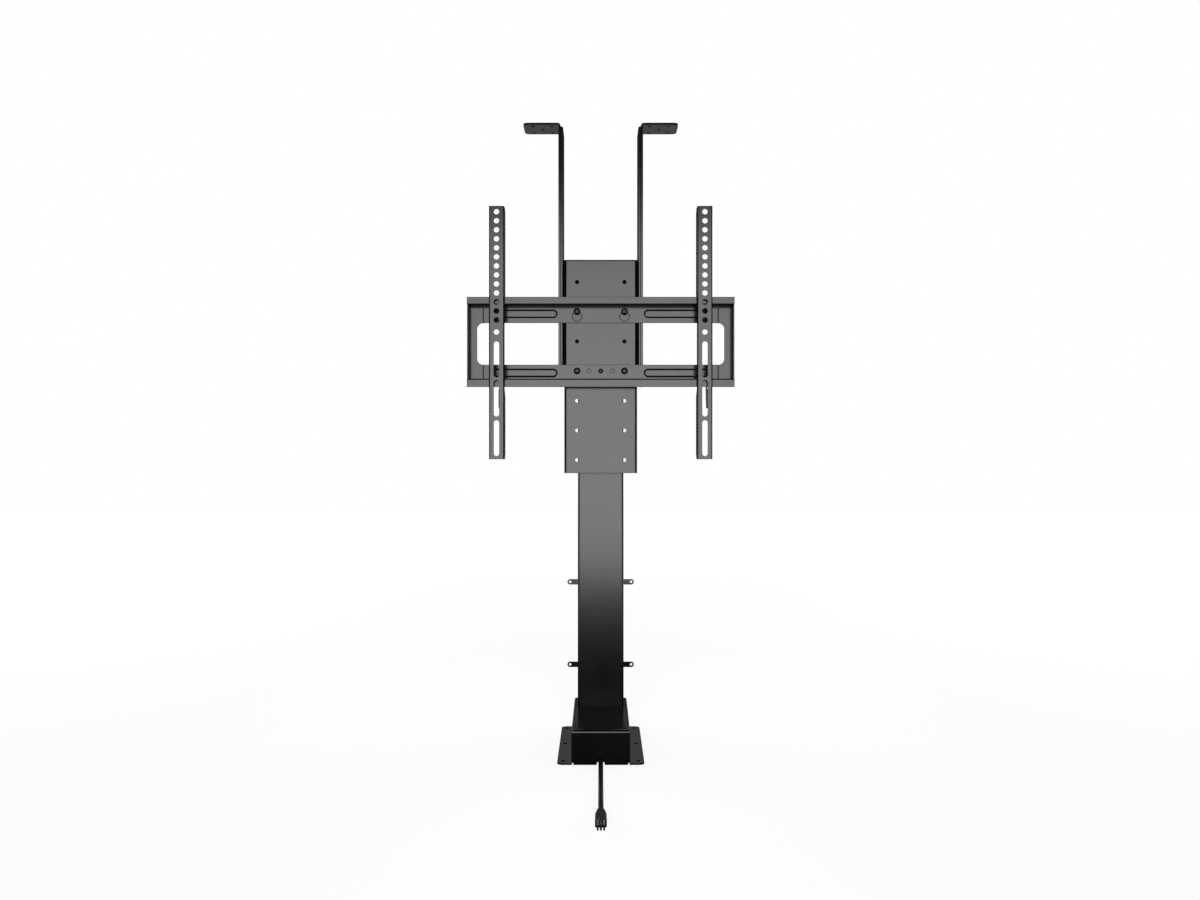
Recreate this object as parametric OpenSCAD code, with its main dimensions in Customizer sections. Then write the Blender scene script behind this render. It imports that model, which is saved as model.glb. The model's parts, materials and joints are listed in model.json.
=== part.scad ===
// Motorised television lift: a three-tube telescopic column on a floor base, carrying a mount plate,
// a television rail with two hanging arms, and two supports for a cabinet lid.
// +X is the viewer's right, -Y faces the viewer, +Z is up. Millimetres.
// The origin is on the floor, at the centre of the six floor fixing holes.

/* [Base] */
// Depth of the base, front to back
base_d = 200; // [198:1:210]
// Width of the raised housing
base_w = 94; // [94:1:100]
// Height of the raised housing
base_h = 56; // [52:1:62]
// Thickness of the base sheet
base_sheet = 3; // [2.5:0.5:3]
// Width across both floor flanges
flange_w = 140; // [136:1:150]
// Diameter of the floor fixing holes
floor_hole_d = 7; // [5:0.5:8]
// Floor hole spacing across the base
floor_hole_x = 120; // [118:1:122]
// Floor hole spacing, front row to rear row
floor_hole_y = 176; // [160:2:180]

/* [Column] */
// Width of the outer tube
column_w = 80; // [80:1:82]
// Depth of the outer tube
column_d = 60; // [60:1:62]
// Wall of all three tubes
tube_wall = 2; // [1.6:0.1:2]
// Height of the top of the outer tube
column_top = 610; // [590:1:612]
// Heights of the two rear straps
strap_z = [116, 265]; // [60:1:400]
// Length of a rear strap
strap_l = 120; // [112:1:130]
// Spacing of the holes at a strap's ends
strap_hole_x = 110; // [100:1:110]

/* [Mount plate] */
// Width of the mount plate
plate_w = 124; // [122:1:124]
// Depth of its side walls
plate_d = 57; // [54:1:62]
// Height of its lower edge
plate_bottom = 464; // [450:1:470]
// Height of its upper edge
plate_top = 824; // [820:1:840]
// Thickness of its sheet
plate_sheet = 2.5; // [2:0.5:2.5]
// Diameter of the holes in its face
plate_hole_d = 6.2; // [6.1:0.1:6.6]

/* [Television rail] */
// Length of the rail
rail_w = 444.8; // [430:0.2:460]
// Depth of the rail, from the plate to the lips
rail_d = 24; // [23:0.5:25]
// Thickness of the rail sheet
rail_sheet = 2; // [1.8:0.1:2]
// Height of the window in the rail
window_h = 70.2; // [66:0.2:72]

/* [Television arms] */
// Spacing of the two arms
arm_spacing = 344.2; // [320:0.2:380]
// Width of an arm
arm_w = 25.4; // [24:0.1:26]
// Height of an arm's lower end
arm_bottom = 487.7; // [480:0.1:490]
// Height of an arm's upper end
arm_top = 906; // [904:1:920]
// Diameter of the arm holes and width of the arm slots
arm_hole_d = 9; // [7:0.5:9]
// Pitch of the arm holes
arm_pitch = 14.9; // [14.5:0.1:15]

/* [Lid supports] */
// Thickness of the uprights and the lid brackets
lid_sheet = 4; // [3.6:0.1:4]
// Depth of the uprights and the lid brackets
lid_d = 47.5; // [44:0.5:50]
// Height of the lid face
lid_top = 1055; // [1040:1:1070]
// Reach of the lid face from the middle of the lift
lid_reach = 131; // [125:1:140]
// Spacing of the lid screw holes
lid_hole_pitch = 32; // [28:1:32]
// Diameter of the lid screw holes
lid_hole_d = 6; // [4:0.5:6]

/* [Cable] */
// Diameter of the motor cable
cable_d = 7.5; // [6:0.5:7.5]

/* [Hidden] */
$fn = 48;
slide_gap = 0.3;
seat_gap = 0.1;
past = 1;

paint = "#1b1c1e";
satin = "#242628";
moulding = "#101112";
zinc = "#b4b7ba";
bright_steel = "#8f9398";
bronze = "#a67c3d";

// Base, foot plate and floor holes
base_bend = 5;
flange_corner = 8;
slit_w = 2;
slit_h = 7;
slit_d = 10;
slit_corner = 1;
inside_w = base_w - 2 * base_sheet;
base_rear = base_d / 2;
rear_inside = base_rear - base_sheet;
foot_z = 36;
foot_sheet = 4;
column_foot = foot_z + foot_sheet;

// Column axis and the section of each tube
column_y = base_rear - 6 - column_d / 2;
column_rear = column_y + column_d / 2;
tube_play = 2;
tube_step = 2 * (tube_wall + tube_play);
outer_size = [column_w, column_d];
middle_size = outer_size - [tube_step, tube_step];
inner_size = middle_size - [tube_step, tube_step];
bore_cut = [2 * tube_wall, 2 * tube_wall];
tube_corner = 4;
middle_bottom = 62;
middle_top = column_top + 10;
inner_bottom = 96;
inner_top = 815;
collar_h = 5;
collar_skirt = 20;
glide_h = 20;
glide_foot = 4;

// Rear straps
strap_h = 9.6;
strap_t = 3;
strap_hole_d = 4.6;
strap_screw_x = 20;
strap_screw_d = 4;

// Spindles and nuts
journal_d = 8;
screw_d = 10;
screw_top = 590;
upper_od = 16;
upper_id = 11;
upper_top = 640;
upper_flange_d = 24;
upper_flange_h = 6.4;
running = 0.12;
nut_h = 20;
nut_pocket = 7;
retainer_h = 4;
retainer_d = 40;
inner_nut_h = 30;

// Worm gear: one-start worm along Y, beside a wheel on the spindle
gear_z = 20;
wheel_teeth = 24;
wheel_root = 16.4;
wheel_tip = 19.3;
wheel_face = 6;
wheel_hub_d = 18;
wheel_hub_h = 13;
worm_x = 24.4;
worm_root = 4.3;
worm_tip = 7.2;
worm_lead = 4.712;
worm_l = 20;
worm_steps = 18;
worm_slices = 52;
shaft_d = 6;
shaft_front = 13;

// Gearbox and motor
case_x = [-25, 37];
case_y = [column_y - 25, column_y + 25];
case_bottom = 8;
lid_t = 4;
case_screw_d = 3;
case_screw_edge = 4;
bearing_d = 22;
bearing_h = 7;
bush_d = 10;
bush_l = 8;
motor_d = 34;
motor_y = [-58, 30];
motor_cap_l = 5;

// Mount plate, rail and arms
plate_front = -17;
plate_back = plate_front + plate_sheet;
plate_bend = 5;
plate_top_bend = 3;
plate_hole_x = 40;
hole_pitch = 50;
hole_rows = 7;
first_row = plate_bottom + 22;
lower_row = first_row + 3 * hole_pitch;
upper_row = first_row + 5 * hole_pitch;
rail_front = plate_front - rail_d;
rail_face = plate_front - rail_sheet;
rail_bend = 2.5;
rail_bottom = 619.7;
rail_top = 746.5;
upper_lip = 10.8;
lower_lip = 12.1;
window_mid = 681.7;
window_x = 208;
window_corner = 10;
end_seam = 197.4;
seam_gap = 1;
seam_lap = 8;
lap_t = 1.5;
bead_l = 110;
bead_h = 14;
bead_x = 127.8;
bead_slope = 2.2;
bead_rise = 1.7;
bead_rows = [632.6, 732];
keyhole_d = 15.4;
keyhole_drop = 8;
stud_d = 6;
stud_head_d = 11.6;
stud_head_h = 3.4;
stud_nut = 11;
nut_t = 5;
centre_screw_d = 4.4;
centre_head_d = 8.4;
centre_head_h = 2.6;
spare_hole_d = 6.9;
spare_hole_x = 20;

arm_sheet = 2;
arm_bend = 2.4;
arm_front = -50;
arm_back = -28;
arm_web = arm_front + arm_sheet;
arm_seat = rail_front - slide_gap;
arm_hook = rail_front + rail_sheet + slide_gap;
arm_holes = 13;
arm_first = arm_top - 9.6;
single_hole_z = 697.7;
arm_slots = [[623.1, 682.4], [558.3, 618.2], [492.9, 552.2]];
arm_nose = 8;

catch_y = -42;
catch_z = 577;
catch_t = 2;
catch_x = 4;
catch_pin_d = 3;

// Bracket between the inner tube and the plate
bracket_t = 3;
bracket_front = plate_back;
bracket_back = bracket_front + bracket_t;
bracket_w = 110;
bracket_z = [612, 818];
cheek_z = [640, 815];
cheek_back = 80;
cheek_corner = 10;
head_bolt_y = [54, 74];
head_bolt_z = [690, 780];
head_bolt_d = 6;
insert_rows = [lower_row + hole_pitch, upper_row + hole_pitch];
insert_d = 9;
insert_l = 14.5;
insert_bore = 9.5;
insert_point = 3;

// Lid supports
spacer_t = 1.2;
upright_x = plate_w / 2 + spacer_t;
leg_x = upright_x + lid_sheet + slide_gap;
lid_y = [-16.5, -16.5 + lid_d];
lid_mid_y = (lid_y[0] + lid_y[1]) / 2;
upright_z = [618, lid_top - 6];
upright_round = 3;
leg_bottom = 612;
lid_bend = 6;
lid_corner = 7.5;
lid_hole_x = 98.7;
lid_bolt_y = [-4, 19];
lid_bolt_d = 6;
lid_fixed_z = 632;
lid_clamp_z = 738;
lid_travel = 100;

// Cable, its gland and its plug
gland_z = 11;
gland_w = 12;
gland_low = 5.5;
gland_front = -base_rear - 3;
gland_nose = gland_front - 11;
lead_d = 6;
plug_rear = -306;
plug_front = -347;
plug_w = 16;
plug_h = 12;
plug_neck = [10.5, 9];
plug_taper = 20;
plug_edge = 1.5;
prong_l = 10;
prong_pitch = 4.25;
plug_window = [3.4, 4, 6.5];
plug_window_z = 3;
cable_sides = 12;
cable_route = [
    [0, gland_nose, 11], [0, -120, 11], [0, -127, 10.2], [0, -134, 8.6], [0, -141, 6.7],
    [0, -148, 5.1], [0, -155, 4.2], [0, -163, 3.8], [0, -176, 3.8], [0, -190, 3.8],
    [0, -204, 3.8], [0, -218, 3.8], [0, -232, 3.8], [0, -246, 3.8], [0, -258, 3.8],
    [0, -268, 4], [0, -277, 4.5], [0, -286, 5.2], [0, -294, 5.8], [0, -300, 6],
    [0, plug_rear, 6]
];
lead_route = [
    [0, -94, 11], [0, -89, 11], [1.5, -85, 11.6], [5, -81.5, 12.9], [9.5, -78.5, 14.6],
    [14.5, -75.5, 16.8], [19, -72.5, 18.7], [22.6, -69.5, 19.7], [24.4, -66.5, 20], [24.4, -63, 20]
];

// A drawing in Y and Z, carried along X
module along_x(x0, x1) {
    translate([x0, 0, 0]) rotate([90, 0, 90]) linear_extrude(x1 - x0) children();
}

// A drawing in X and Z, carried along Y
module along_y(y0, y1) {
    translate([0, y1, 0]) rotate([90, 0, 0]) linear_extrude(y1 - y0) children();
}

// A drawing in X and Y, carried along Z
module along_z(z0, z1) {
    translate([0, 0, z0]) linear_extrude(z1 - z0) children();
}

// Round bars and bores along each axis
module rod_x(x0, x1, y, z, d) {
    translate([x0, y, z]) rotate([0, 90, 0]) cylinder(d = d, h = x1 - x0);
}

module rod_y(y0, y1, x, z, d) {
    translate([x, y1, z]) rotate([90, 0, 0]) cylinder(d = d, h = y1 - y0);
}

module rod_z(z0, z1, x, y, d) {
    translate([x, y, z0]) cylinder(d = d, h = z1 - z0);
}

module both_sides() {
    children();
    mirror([1, 0, 0]) children();
}

// Rectangle about the origin with four rounded corners
module rounded_rect(size, r) {
    square([size[0] - 2 * r, size[1]], center = true);
    square([size[0], size[1] - 2 * r], center = true);
    for (x = [-1, 1], y = [-1, 1])
        translate([x * (size[0] / 2 - r), y * (size[1] / 2 - r)]) circle(r);
}

// Rectangle standing on y = 0 with its two upper corners rounded
module arch(w, h, r) {
    translate([-w / 2, 0]) square([w, h - r]);
    translate([r - w / 2, 0]) square([w - 2 * r, h]);
    for (x = [-1, 1])
        translate([x * (w / 2 - r), h - r]) circle(r);
}

// Rectangle standing on y = 0 with a half-round top
module round_arch(w, h) {
    translate([-w / 2, 0]) square([w, h - w / 2]);
    translate([0, h - w / 2]) circle(d = w);
}

// Slot along x, given its full length
module slot(l, w) {
    square([l - w, w], center = true);
    for (x = [-1, 1])
        translate([x * (l - w) / 2, 0]) circle(d = w);
}

// Quarter ring of folded sheet in the first quadrant
module fold(r, t) {
    intersection() {
        difference() {
            circle(r);
            circle(r - t);
        }
        square(r);
    }
}

// Folded channel: open at y = 0, its web at y = h
module channel(w, h, t, r) {
    difference() {
        arch(w, h, r);
        translate([0, -past]) arch(w - 2 * t, h - t + past, r - t);
    }
}

module tube_section(outside, inside, r_out, r_in) {
    translate([0, column_y]) difference() {
        rounded_rect(outside, r_out);
        rounded_rect(inside, r_in);
    }
}

// One square ring of the column, sized to sit round or inside a tube
module square_tube(size, z0, z1) {
    along_z(z0, z1) tube_section(size, size - bore_cut, tube_corner, tube_corner - tube_wall);
}

// Pan head with a cross recess, facing -Y at y0, on a shank that runs back to y1
module pan_screw_y(x, z, y0, head_d, head_h, shank_d, y1) {
    recess = 0.3 * head_d;
    difference() {
        union() {
            translate([x, y0, z]) rotate([90, 0, 0]) rotate_extrude() polygon([
                [0, 0], [head_d / 2, 0], [head_d / 2, 0.25 * head_h], [0.23 * head_d, head_h], [0, head_h]
            ]);
            rod_y(y0 - past / 2, y1, x, z, shank_d);
        }
        for (turn = [0, 90])
            translate([x, y0 - head_h, z]) rotate([0, turn, 0])
                cube([recess, head_h, 0.2 * recess], center = true);
    }
}

// Cap screw with a hexagon socket: its head stands on z = 0 and its shank hangs below
module cap_screw(shank_l, d, head_d, head_h) {
    difference() {
        union() {
            rod_z(-shank_l, 0, 0, 0, d);
            rod_z(0, head_h, 0, 0, head_d);
        }
        translate([0, 0, head_h / 2]) cylinder(d = d, h = head_h, $fn = 6);
    }
}

// Hexagonal nut between y0 and y1
module nut_y(x, z, y0, y1, across, bore) {
    difference() {
        translate([x, y1, z]) rotate([90, 30, 0]) cylinder(d = across, h = y1 - y0, $fn = 6);
        rod_y(y0 - past, y1 + past, x, z, bore);
    }
}

// Tube swept along a route
function ring(route, i, r, sides) = let(
    back = route[max(i - 1, 0)],
    ahead = route[min(i + 1, len(route) - 1)],
    way = (ahead - back) / norm(ahead - back),
    across = cross(way, [0, 0, 1]) / norm(cross(way, [0, 0, 1])),
    up = cross(across, way)
) [for (s = [0:sides - 1]) route[i] + r * (cos(360 * s / sides) * across + sin(360 * s / sides) * up)];

module swept_tube(route, d, sides) {
    last = len(route) - 1;
    points = [for (i = [0:last]) each ring(route, i, d / 2, sides)];
    walls = [for (i = [0:last - 1], s = [0:sides - 1]) let(
        a = i * sides + s,
        b = i * sides + (s + 1) % sides
    ) each [[a, a + sides, b], [b, a + sides, b + sides]]];
    start_cap = [for (s = [0:sides - 1]) s];
    end_cap = [for (s = [sides - 1:-1:0]) last * sides + s];
    polyhedron(points, concat(walls, [start_cap, end_cap]));
}

// Base

module floor_holes() {
    for (x = [-1, 1], y = [-1, 0, 1])
        rod_z(-past, base_sheet + past, x * floor_hole_x / 2, y * floor_hole_y / 2, floor_hole_d);
}

module base_sheet_body() {
    intersection() {
        union() {
            along_y(-base_rear, base_rear) {
                channel(base_w, base_h, base_sheet, base_bend);
                for (x = [-flange_w / 2, inside_w / 2])
                    translate([x, 0]) square([(flange_w - inside_w) / 2, base_sheet]);
            }
            for (y = [-base_rear, rear_inside])
                along_y(y, y + base_sheet) arch(base_w, base_h, base_bend);
        }
        along_z(0, base_h) rounded_rect([flange_w, base_d], flange_corner);
        along_x(-flange_w / 2, flange_w / 2) arch(base_d, base_h, base_bend);
    }
}

// Openings of the front wall: a notch for the cable gland, and the cut corners of its lower edge
module front_openings() {
    translate([0, -past]) round_arch(gland_w, gland_z + gland_w / 2 + past);
    both_sides() {
        translate([gland_w / 2, 0]) corner_cut(slit_corner);
        translate([inside_w / 2, 0]) mirror([1, 0]) corner_cut(slit_corner);
    }
}

// Relief slits between the front wall and the flanges
module relief_slits() {
    along_y(-base_rear - past, -base_rear + slit_d)
        both_sides() translate([inside_w / 2, -past]) square([slit_w, slit_h + past]);
}

module corner_cut(size) {
    polygon([[-past, -past], [size + past, -past], [-past, size + past]]);
}

module base_housing() {
    opening = outer_size + [8 * seat_gap, 8 * seat_gap];
    color(paint) difference() {
        base_sheet_body();
        along_z(base_h - base_sheet - past, base_h + past)
            translate([0, column_y]) rounded_rect(opening, tube_corner);
        floor_holes();
        along_y(-base_rear - past, -rear_inside + past) front_openings();
        relief_slits();
    }
}

module foot_plate() {
    front = motor_y[1] + 1;
    color(satin) difference() {
        translate([-inside_w / 2, front, foot_z]) cube([inside_w, rear_inside - front, foot_sheet]);
        rod_z(foot_z - past, column_foot + past, 0, column_y, screw_d + 3);
        case_screw_places() rod_z(foot_z - past, column_foot + past, 0, 0, case_screw_d + 2 * seat_gap);
    }
}

// Column that stands on the foot plate

module outer_tube() {
    color(paint) difference() {
        square_tube(outer_size, column_foot, column_top);
        strap_screw_places()
            rod_y(column_rear - tube_wall - past, column_rear + past, 0, 0, strap_screw_d + 2 * seat_gap);
    }
}

// Guide ring on the top of a tube, with a skirt inside it, round the next tube
module guide_collar(size, next_size, top) {
    skirt = size - bore_cut - [2 * seat_gap, 2 * seat_gap];
    bore = next_size + [2 * slide_gap, 2 * slide_gap];
    along_z(top, top + collar_h) tube_section(size, bore, tube_corner, tube_corner);
    along_z(top - collar_skirt, top) tube_section(skirt, bore, tube_corner - tube_wall, tube_corner);
}

module outer_tube_collar() {
    color(moulding) guide_collar(outer_size, middle_size, column_top);
}

module strap_screw_places() {
    for (x = [-1, 1], z = strap_z)
        translate([x * strap_screw_x, 0, z]) children();
}

module rear_strap(z) {
    color(paint) along_y(column_rear, column_rear + strap_t) translate([0, z]) difference() {
        slot(strap_l, strap_h);
        for (x = [-1, 1]) {
            translate([x * strap_hole_x / 2, 0]) circle(d = strap_hole_d);
            translate([x * strap_screw_x, 0]) circle(d = strap_screw_d + 2 * seat_gap);
        }
    }
}

module rear_strap_lower() {
    rear_strap(strap_z[0]);
}

module rear_strap_upper() {
    rear_strap(strap_z[1]);
}

module strap_screws() {
    seat = column_rear + strap_t;
    color(satin) strap_screw_places() mirror([0, 1, 0])
        pan_screw_y(0, 0, -seat, 2 * strap_screw_d, 2.4, strap_screw_d, -(column_rear - tube_wall));
}

// Drive under the column

module motor_can() {
    color(bright_steel) difference() {
        union() {
            rod_y(motor_y[0], motor_y[1], worm_x, gear_z, motor_d);
            rod_y(motor_y[0] - motor_cap_l, motor_y[0], worm_x, gear_z, motor_d / 2);
        }
        rod_y(shaft_front - 1, motor_y[1] + past, worm_x, gear_z, shaft_d + 4 * seat_gap);
    }
}

module motor_flange() {
    half = motor_d / 2 - 0.5;
    color(satin) difference() {
        translate([worm_x - half, motor_y[1], gear_z - half + 1])
            cube([2 * half, case_y[0] - motor_y[1], 2 * half - 2]);
        rod_y(motor_y[1] - past, case_y[0] + past, worm_x, gear_z, shaft_d + 4 * seat_gap);
    }
}

module case_block(z0, z1) {
    translate([case_x[0], case_y[0], z0]) cube([case_x[1] - case_x[0], case_y[1] - case_y[0], z1 - z0]);
}

module case_screw_places() {
    for (x = [case_x[0] + case_screw_edge, case_x[1] - case_screw_edge])
        for (y = [case_y[0] + case_screw_edge, case_y[1] - case_screw_edge])
            translate([x, y, 0]) children();
}

module gearbox_case() {
    wheel_room = wheel_tip + 1.2;
    worm_room = worm_tip + 1.1;
    room_y = [case_y[0] + bush_l + 1, case_y[1] - bush_l - 1];
    color(bright_steel) difference() {
        case_block(case_bottom, foot_z);
        rod_z(case_bottom - past, gear_z + 7, 0, column_y, 2 * wheel_room);
        rod_z(gear_z, foot_z, 0, column_y, journal_d + 4);
        rod_z(foot_z - bearing_h, foot_z + past, 0, column_y, bearing_d + seat_gap);
        rod_y(room_y[0], room_y[1], worm_x, gear_z, 2 * worm_room);
        translate([worm_x - worm_room, room_y[0], case_bottom - past])
            cube([2 * worm_room, room_y[1] - room_y[0], gear_z - case_bottom + past]);
        rod_y(case_y[0] - past, case_y[1] + past, worm_x, gear_z, bush_d + seat_gap);
        case_screw_places() rod_z(case_bottom - past, foot_z + past, 0, 0, case_screw_d + 2 * seat_gap);
    }
}

module gearbox_lid() {
    color(bright_steel) difference() {
        case_block(case_bottom - lid_t, case_bottom);
        rod_z(case_bottom - lid_t - past, case_bottom + past, 0, column_y, journal_d + running);
        case_screw_places()
            rod_z(case_bottom - lid_t - past, case_bottom + past, 0, 0, case_screw_d + 2 * seat_gap);
    }
}

module gearbox_screws() {
    seat = case_bottom - lid_t;
    color(zinc) case_screw_places() {
        rod_z(seat, column_foot - 1, 0, 0, case_screw_d);
        rod_z(seat - 2, seat, 0, 0, 2 * case_screw_d);
    }
}

module screw_bearing() {
    groove = 1.2;
    ring_t = 2.2;
    bore_r = (journal_d + running / 2) / 2;
    color(zinc) translate([0, column_y, foot_z - bearing_h]) rotate_extrude() difference() {
        translate([bore_r, 0]) square([bearing_d / 2 - bore_r, bearing_h]);
        for (z = [-past, bearing_h - groove])
            translate([bore_r + ring_t, z])
                square([bearing_d / 2 - bore_r - 2 * ring_t, groove + past]);
    }
}

module worm_bushes() {
    color(bronze) for (y = [case_y[0], case_y[1] - bush_l]) difference() {
        rod_y(y, y + bush_l, worm_x, gear_z, bush_d);
        rod_y(y - past, y + bush_l + past, worm_x, gear_z, shaft_d + running);
    }
}

// Radius of the worm's section: a broad lobe that falls evenly from the tip to the root
function worm_r(a) = worm_root + (worm_tip - worm_root) * max(0, min(1, (88 - abs(a)) / 54));

module worm_shaft() {
    turn = 360 * worm_l / worm_lead;
    start = 180 - turn / 2;
    color(bright_steel) {
        translate([worm_x, column_y - worm_l / 2, gear_z]) rotate([-90, 0, 0]) rotate(start)
            linear_extrude(worm_l, twist = -turn, slices = worm_slices)
                polygon([for (i = [0:worm_steps - 1]) let(a = 360 * i / worm_steps - 180)
                    worm_r(a) * [cos(a), sin(a)]]);
        rod_y(shaft_front, case_y[1], worm_x, gear_z, shaft_d);
    }
}

module worm_wheel() {
    pitch = 360 / wheel_teeth;
    flank = [[wheel_root, -4.2], [wheel_tip, -1.3], [wheel_tip, 1.3], [wheel_root, 4.2]];
    color(bronze) difference() {
        union() {
            translate([0, column_y, gear_z - wheel_face / 2]) linear_extrude(wheel_face)
                polygon([for (i = [0:wheel_teeth - 1], p = flank) let(a = (i + 0.5) * pitch + p[1])
                    p[0] * [cos(a), sin(a)]]);
            rod_z(gear_z - wheel_hub_h / 2, gear_z + wheel_hub_h / 2, 0, column_y, wheel_hub_d);
        }
        rod_z(0, foot_z, 0, column_y, journal_d + running / 2);
    }
}

module drive_screw() {
    color(bright_steel) {
        rod_z(case_bottom - lid_t + 1, foot_z, 0, column_y, journal_d);
        rod_z(foot_z, screw_top, 0, column_y, screw_d);
    }
}

// Middle stage

module middle_tube() {
    color(satin) square_tube(middle_size, middle_bottom, middle_top);
}

module middle_tube_collar() {
    color(moulding) guide_collar(middle_size, inner_size, middle_top);
}

// Shoe round the bottom of a tube, running inside the tube outside it
module foot_glide(size, bottom) {
    outside = size + [2 * (tube_play - slide_gap), 2 * (tube_play - slide_gap)];
    round_tube = size + [2 * seat_gap, 2 * seat_gap];
    under_tube = size - [3 * tube_wall, 3 * tube_wall];
    along_z(bottom, bottom + glide_h) tube_section(outside, round_tube, tube_corner, tube_corner);
    along_z(bottom - glide_foot, bottom) tube_section(outside, under_tube, tube_corner, tube_corner);
}

module middle_foot_glide() {
    color(moulding) foot_glide(middle_size, middle_bottom);
}

// Block that fills the bottom of a tube
module nut_block(size, z0, z1) {
    block = size - bore_cut - [2 * seat_gap, 2 * seat_gap];
    along_z(z0, z1) translate([0, column_y]) rounded_rect(block, tube_corner - tube_wall);
}

module middle_nut() {
    top = middle_bottom + nut_h;
    color("ivory") difference() {
        nut_block(middle_size, middle_bottom, top);
        rod_z(middle_bottom - past, top + past, 0, column_y, screw_d + running);
        rod_z(top - nut_pocket, top + past, 0, column_y, upper_flange_d + 2 * slide_gap);
    }
}

module upper_screw_retainer() {
    bottom = middle_bottom + nut_h;
    color(zinc) difference() {
        rod_z(bottom, bottom + retainer_h, 0, column_y, retainer_d);
        rod_z(bottom - past, bottom + retainer_h + past, 0, column_y, upper_od + running);
    }
}

module upper_screw() {
    bottom = middle_bottom + nut_h - nut_pocket + slide_gap;
    color(bright_steel) difference() {
        union() {
            rod_z(bottom, upper_top, 0, column_y, upper_od);
            rod_z(bottom, bottom + upper_flange_h, 0, column_y, upper_flange_d);
        }
        rod_z(bottom - past, upper_top + past, 0, column_y, upper_id);
    }
}

// Carriage

module inner_tube() {
    color(satin) difference() {
        square_tube(inner_size, inner_bottom, inner_top);
        head_bolt_places() rod_x(-2 * tube_wall, tube_wall, 0, 0, head_bolt_d + 2 * seat_gap);
    }
}

module inner_foot_glide() {
    color(moulding) foot_glide(inner_size, inner_bottom);
}

module inner_nut() {
    color("ivory") difference() {
        nut_block(inner_size, inner_bottom, inner_bottom + inner_nut_h);
        rod_z(inner_bottom - past, inner_bottom + inner_nut_h + past, 0, column_y, upper_od + running);
    }
}

module inner_tube_cap() {
    cap_t = 3;
    color(moulding) {
        nut_block(inner_size, inner_top - 2 * cap_t, inner_top);
        along_z(inner_top, inner_top + cap_t) translate([0, column_y]) rounded_rect(inner_size, tube_corner);
    }
}

// Outer face of the inner tube's sides, where the cheeks are bolted on
module head_bolt_places() {
    both_sides() for (y = head_bolt_y, z = head_bolt_z)
        translate([inner_size[0] / 2, y, z]) children();
}

module cheek_outline() {
    depth = cheek_back - bracket_back;
    height = cheek_z[1] - cheek_z[0];
    translate([bracket_back, cheek_z[0]]) {
        square([depth - cheek_corner, height]);
        translate([0, cheek_corner]) square([depth, height - 2 * cheek_corner]);
        for (z = [cheek_corner, height - cheek_corner])
            translate([depth - cheek_corner, z]) circle(cheek_corner);
    }
}

module rail_bolt_places() {
    for (x = [-1, 1], z = [lower_row, upper_row])
        translate([x * plate_hole_x, 0, z]) children();
}

module insert_places() {
    for (x = [-1, 1], z = insert_rows)
        translate([x * plate_hole_x, 0, z]) children();
}

module head_bracket() {
    side = inner_size[0] / 2;
    color(satin) difference() {
        union() {
            along_y(bracket_front, bracket_back)
                translate([-bracket_w / 2, bracket_z[0]]) square([bracket_w, bracket_z[1] - bracket_z[0]]);
            both_sides() along_x(side, side + bracket_t) cheek_outline();
        }
        rail_bolt_places() rod_y(bracket_front - past, bracket_back + past, 0, 0, stud_d + 2 * seat_gap);
        insert_places() rod_y(bracket_front - past, bracket_back + past, 0, 0, plate_hole_d);
        rod_y(bracket_front - past, bracket_back + past, 0, lower_row, centre_screw_d + 2 * seat_gap);
        head_bolt_places() rod_x(-past, bracket_t + past, 0, 0, head_bolt_d + 2 * seat_gap);
    }
}

// Blind inserts behind the plate's free holes
module plate_inserts() {
    color(satin) insert_places() difference() {
        rod_y(bracket_back, bracket_back + insert_l, 0, 0, insert_d);
        translate([0, bracket_back, 0]) rotate([-90, 0, 0]) rotate_extrude() polygon([
            [0, -past], [plate_hole_d / 2, -past], [plate_hole_d / 2, insert_bore],
            [0, insert_bore + insert_point]
        ]);
    }
}

module head_bolts() {
    color(zinc) head_bolt_places() translate([bracket_t, 0, 0]) rotate([0, 90, 0])
        cap_screw(bracket_t + tube_wall, head_bolt_d, head_bolt_d + 4, 4);
}

module lid_bolt_places(heights) {
    both_sides() for (y = lid_bolt_y, z = heights)
        translate([0, y, z]) children();
}

// Side view of the mount plate, with its upper edge bent back
module plate_side() {
    height = plate_top - plate_bottom;
    translate([plate_front, plate_bottom]) {
        square([plate_d, height - plate_top_bend]);
        translate([plate_top_bend, 0]) square([plate_d - plate_top_bend, height]);
        translate([plate_top_bend, height - plate_top_bend]) circle(plate_top_bend);
    }
}

module mount_plate_sheet() {
    rear = [0, plate_front + plate_d];
    intersection() {
        union() {
            along_z(plate_bottom, plate_top) translate(rear) rotate(180)
                channel(plate_w, plate_d, plate_sheet, plate_bend);
            along_z(plate_top - plate_sheet, plate_top) translate(rear) rotate(180)
                arch(plate_w, plate_d, plate_bend);
        }
        along_x(-plate_w / 2, plate_w / 2) plate_side();
    }
}

module mount_plate() {
    color(paint) difference() {
        mount_plate_sheet();
        for (x = [-1, 1], row = [0:hole_rows - 1])
            translate([x * plate_hole_x, 0, first_row + row * hole_pitch])
                rod_y(plate_front - past, plate_back + past, 0, 0, plate_hole_d);
        rod_y(plate_front - past, plate_back + past, 0, lower_row, centre_screw_d + 2 * seat_gap);
        lid_bolt_places([lid_fixed_z, lid_clamp_z])
            rod_x(plate_w / 2 - plate_sheet - past, plate_w / 2 + past, 0, 0, lid_bolt_d + 4 * seat_gap);
    }
}

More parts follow.
